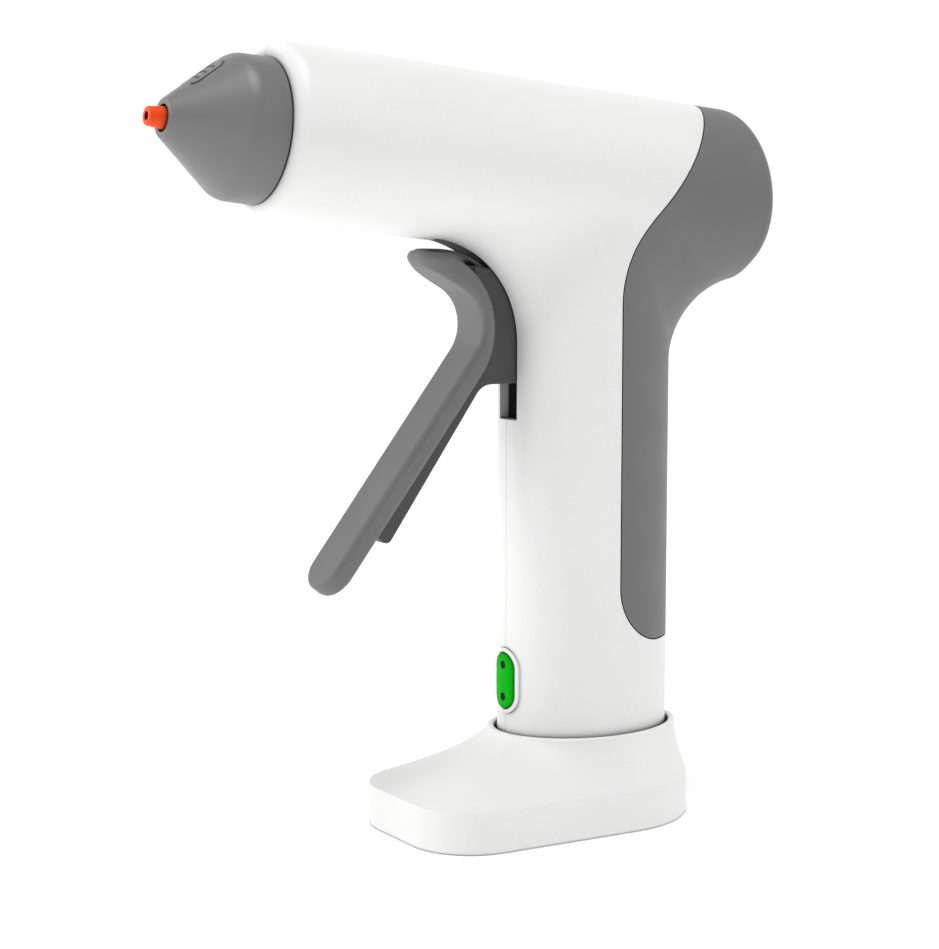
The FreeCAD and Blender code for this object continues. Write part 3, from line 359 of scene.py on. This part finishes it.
# The barrel's tilt, and in millimetres its axis above the table, its length to the cone's rear face,
# and the cone's shoulder and tip, each as distance from that face and radius.
TILT = math.radians(6)
BARREL_HEIGHT = 142.7
BARREL_LENGTH = 80.4
SHOULDER = (7.4, 14.75)
CONE_TIP = (21.2, 3.9)

# The mark's lines, in millimetres. They stand a little proud and reach a little into the cone.
LINE_WIDTH = 0.42
LINE_PROUD = 0.1
LINE_SUNK = 0.15

# The mark itself, in millimetres along the cone and around it.
OBLONG_REAR = 10.2
OBLONG_FRONT = 16.6
OBLONG_HALF = 3.3
OBLONG_CORNER = 1.2
CORNER_STEPS = 5
BARS = (11.8, 13.4, 15.0)
BAR_HALF = 1.6
BAR_STEPS = 8


def on_cone(along, around, lift):
    """A point of the cone's slope, millimetres from its rear face and sideways from its top line."""
    slope = (CONE_TIP[1] - SHOULDER[1]) / (CONE_TIP[0] - SHOULDER[0])
    radius = SHOULDER[1] + slope * (along - SHOULDER[0])
    angle = around / radius
    above = (radius + lift) * math.cos(angle)
    aside = (radius + lift) * math.sin(angle)
    reach = BARREL_LENGTH + along
    x = above * math.sin(TILT) - reach * math.cos(TILT)
    z = BARREL_HEIGHT + reach * math.sin(TILT) + above * math.cos(TILT)
    return (x * MM, aside * MM, z * MM)


def stroke(vertices, faces, path, closed):
    """Adds a low raised line along a path of (along, around) points."""
    first = len(vertices)
    count = len(path)
    half = LINE_WIDTH / 2
    for index, (along, around) in enumerate(path):
        before = path[index - 1] if index or closed else path[index]
        after = path[(index + 1) % count] if index + 1 < count or closed else path[index]
        run = Vector((after[0] - before[0], after[1] - before[1])).normalized()
        for shift, lift in ((-half, -LINE_SUNK), (-half, LINE_PROUD), (half, LINE_PROUD), (half, -LINE_SUNK)):
            vertices.append(on_cone(along - run.y * shift, around + run.x * shift, lift))
    for index in range(count if closed else count - 1):
        here = first + 4 * index
        there = first + 4 * ((index + 1) % count)
        for edge in range(3):
            faces.append((here + edge, here + edge + 1, there + edge + 1, there + edge))
    if not closed:
        last = first + 4 * (count - 1)
        faces.append((first, first + 1, first + 2, first + 3))
        faces.append((last + 3, last + 2, last + 1, last))


def oblong_path(rear, front, half, corner):
    """A round-cornered oblong on the cone, from its rear end to its front end."""
    path = []
    turns = ((front - corner, half - corner, 0), (rear + corner, half - corner, 90),
             (rear + corner, corner - half, 180), (front - corner, corner - half, 270))
    for along, around, start in turns:
        for step in range(CORNER_STEPS + 1):
            angle = math.radians(start + 90 * step / CORNER_STEPS)
            path.append((along + corner * math.cos(angle), around + corner * math.sin(angle)))
    return path


def cone_mark():
    """A round-cornered oblong with three short bars, in low dark lines on top of the cone."""
    vertices = []
    faces = []
    stroke(vertices, faces, oblong_path(OBLONG_REAR, OBLONG_FRONT, OBLONG_HALF, OBLONG_CORNER), True)
    for along in BARS:
        bar = [(along, BAR_HALF * (2 * step / BAR_STEPS - 1)) for step in range(BAR_STEPS + 1)]
        stroke(vertices, faces, bar, False)
    mesh = bpy.data.meshes.new("cone_mark")
    mesh.from_pydata(vertices, [], faces)
    mesh.materials.append(moulded("mark_ink", (0.03, 0.03, 0.032), 0.45, grain=3.0, depth=0.004, worn=1.3,
                                  dusty=0.9, edge=0.1, softened=0.06))
    mark = bpy.data.objects.new("cone_mark", mesh)
    bpy.context.scene.collection.objects.link(mark)
    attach(mark, "gun")


cone_mark()


# ---------------------------------------------------------------- room, light and camera

CAMERA_PLACE = (-0.2814, -0.4007, 0.1365)
CAMERA_YAW = -0.5603
CAMERA_PITCH = 0.12243
SENSOR_WIDTH = 36
FOCAL_LENGTH = 83.31
NEAREST, FURTHEST = 0.01, 20

# The bowl: radii of its flat floor's rings, then of the bend up into the wall, and the wall's top.
FLOOR_RINGS = (0.3, 1.0, 2.0)
BEND = 0.9
WALL_TOP = 3.2
BEND_STEPS = 12
SECTORS = 72

# Paper near the gun is pale. Further off it is darker, so that it throws less light back.
PAPER = ((0.78, 0.78, 0.78), (0.81, 0.81, 0.81))
FAR_PAPER = (0.25, 0.25, 0.25)
NEAR_TO_FAR = (0.7, 1.8)

# The bowl's own glow, as (from, to, glow at from, glow at to), in metres from the middle of the floor:
# the floor around the gun, what it loses further off, and the wall behind the gun as the camera sees it.
FLOOR_GLOW = (0.05, 0.4, 0.34, 0.5)
FAR_LOSS = (*NEAR_TO_FAR, 0.0, 0.3)
WALL_GLOW = (0.5, 1.6, 0.0, 0.66)
BEHIND = (0.0, 1.2)

# Softboxes, all aimed at the middle of the gun: name, place, width and height in metres, power in watts.
AIM = (0, 0, 0.1)
SOFTBOXES = (
    ("left", (-1.05, 0.62, 0.5), (0.7, 0.9), 6.0),
    ("low", (-1.0, -0.42, 0.12), (0.3, 0.2), 0.8),
    ("right", (0.95, -0.6, 0.4), (0.5, 0.9), 2.4),
    ("top", (-0.2, -0.2, 1.15), (0.6, 0.6), 8.4),
)
ROOM_LIGHT = 0.08


def bowl_profile():
    """Radius and height of the bowl's half section: flat, then curved up into a wall."""
    profile = [(radius, 0.0) for radius in FLOOR_RINGS]
    flat = FLOOR_RINGS[-1]
    for step in range(1, BEND_STEPS + 1):
        turn = math.pi / 2 * step / BEND_STEPS
        profile.append((flat + BEND * math.sin(turn), BEND - BEND * math.cos(turn)))
    profile.append((flat + BEND, WALL_TOP))
    return profile


def bowl_paper():
    """The bowl's matt paper: fine fibres, and a glow that hides where the floor turns into the wall."""
    g = Graph("floor_paper")
    fibre = g.noise(0.6, 3, 0.6)
    away = g.vector("LENGTH", g.place)
    g.colour(g.mix(g.span(away, *NEAR_TO_FAR), g.mix(fibre, *PAPER), FAR_PAPER))
    behind = g.vector("DOT_PRODUCT", g.place, (-math.sin(CAMERA_YAW), math.cos(CAMERA_YAW), 0))
    wall = g.math("MULTIPLY", g.span(away, *WALL_GLOW), g.span(behind, *BEHIND))
    ground = g.math("SUBTRACT", g.span(away, *FLOOR_GLOW), g.span(away, *FAR_LOSS))
    glow = g.mix(g.math("ADD", ground, wall), (0, 0, 0), (1, 1, 1))
    g.link(glow, g.shader.inputs["Emission Color"])
    g.roughness(g.span(fibre, *MIDDLE, 0.8, 0.9))
    g.set(Specular_IOR_Level=0.1, Emission_Strength=1.0)
    return g.material


def pale_floor():
    """A broad pale bowl: a floor that rises into a wall all round, with no sharp horizon."""
    vertices = [(0, 0, 0)]
    for radius, height in bowl_profile():
        for sector in range(SECTORS):
            turn = 2 * math.pi * sector / SECTORS
            vertices.append((radius * math.cos(turn), radius * math.sin(turn), height))
    faces = []
    for sector in range(SECTORS):
        after = (sector + 1) % SECTORS
        faces.append((0, 1 + sector, 1 + after))
        for ring in range(len(bowl_profile()) - 1):
            low = 1 + ring * SECTORS
            high = low + SECTORS
            faces.append((low + sector, high + sector, high + after, low + after))
    mesh = bpy.data.meshes.new("floor")
    mesh.from_pydata(vertices, [], faces)
    mesh.update()
    for face in mesh.polygons:
        face.use_smooth = True
    floor = bpy.data.objects.new("floor", mesh)
    bpy.context.scene.collection.objects.link(floor)
    mesh.materials.append(bowl_paper())


def softbox(name, place, size, power):
    data = bpy.data.lights.new(name, "AREA")
    data.shape = "RECTANGLE"
    data.size, data.size_y = size
    data.energy = power
    box = bpy.data.objects.new(name, data)
    box.location = place
    box.rotation_euler = (Vector(AIM) - Vector(place)).to_track_quat("-Z", "Y").to_euler()
    bpy.context.scene.collection.objects.link(box)


def studio_camera():
    data = bpy.data.cameras.new("camera")
    data.sensor_width = SENSOR_WIDTH
    data.lens = FOCAL_LENGTH
    data.clip_start = NEAREST
    data.clip_end = FURTHEST
    camera = bpy.data.objects.new("camera", data)
    camera.location = CAMERA_PLACE
    camera.rotation_euler = (math.pi / 2 - CAMERA_PITCH, 0, CAMERA_YAW)
    bpy.context.scene.collection.objects.link(camera)
    bpy.context.scene.camera = camera


def room_light():
    """Even white light of low strength from all round."""
    world = bpy.data.worlds.new("studio")
    world.use_nodes = True
    background = world.node_tree.nodes["Background"]
    background.inputs["Color"].default_value = (1, 1, 1, 1)
    background.inputs["Strength"].default_value = ROOM_LIGHT
    bpy.context.scene.world = world


studio_camera()
pale_floor()
room_light()
for name, place, size, power in SOFTBOXES:
    softbox(name, place, size, power)

bpy.context.scene.view_settings.view_transform = "Standard"
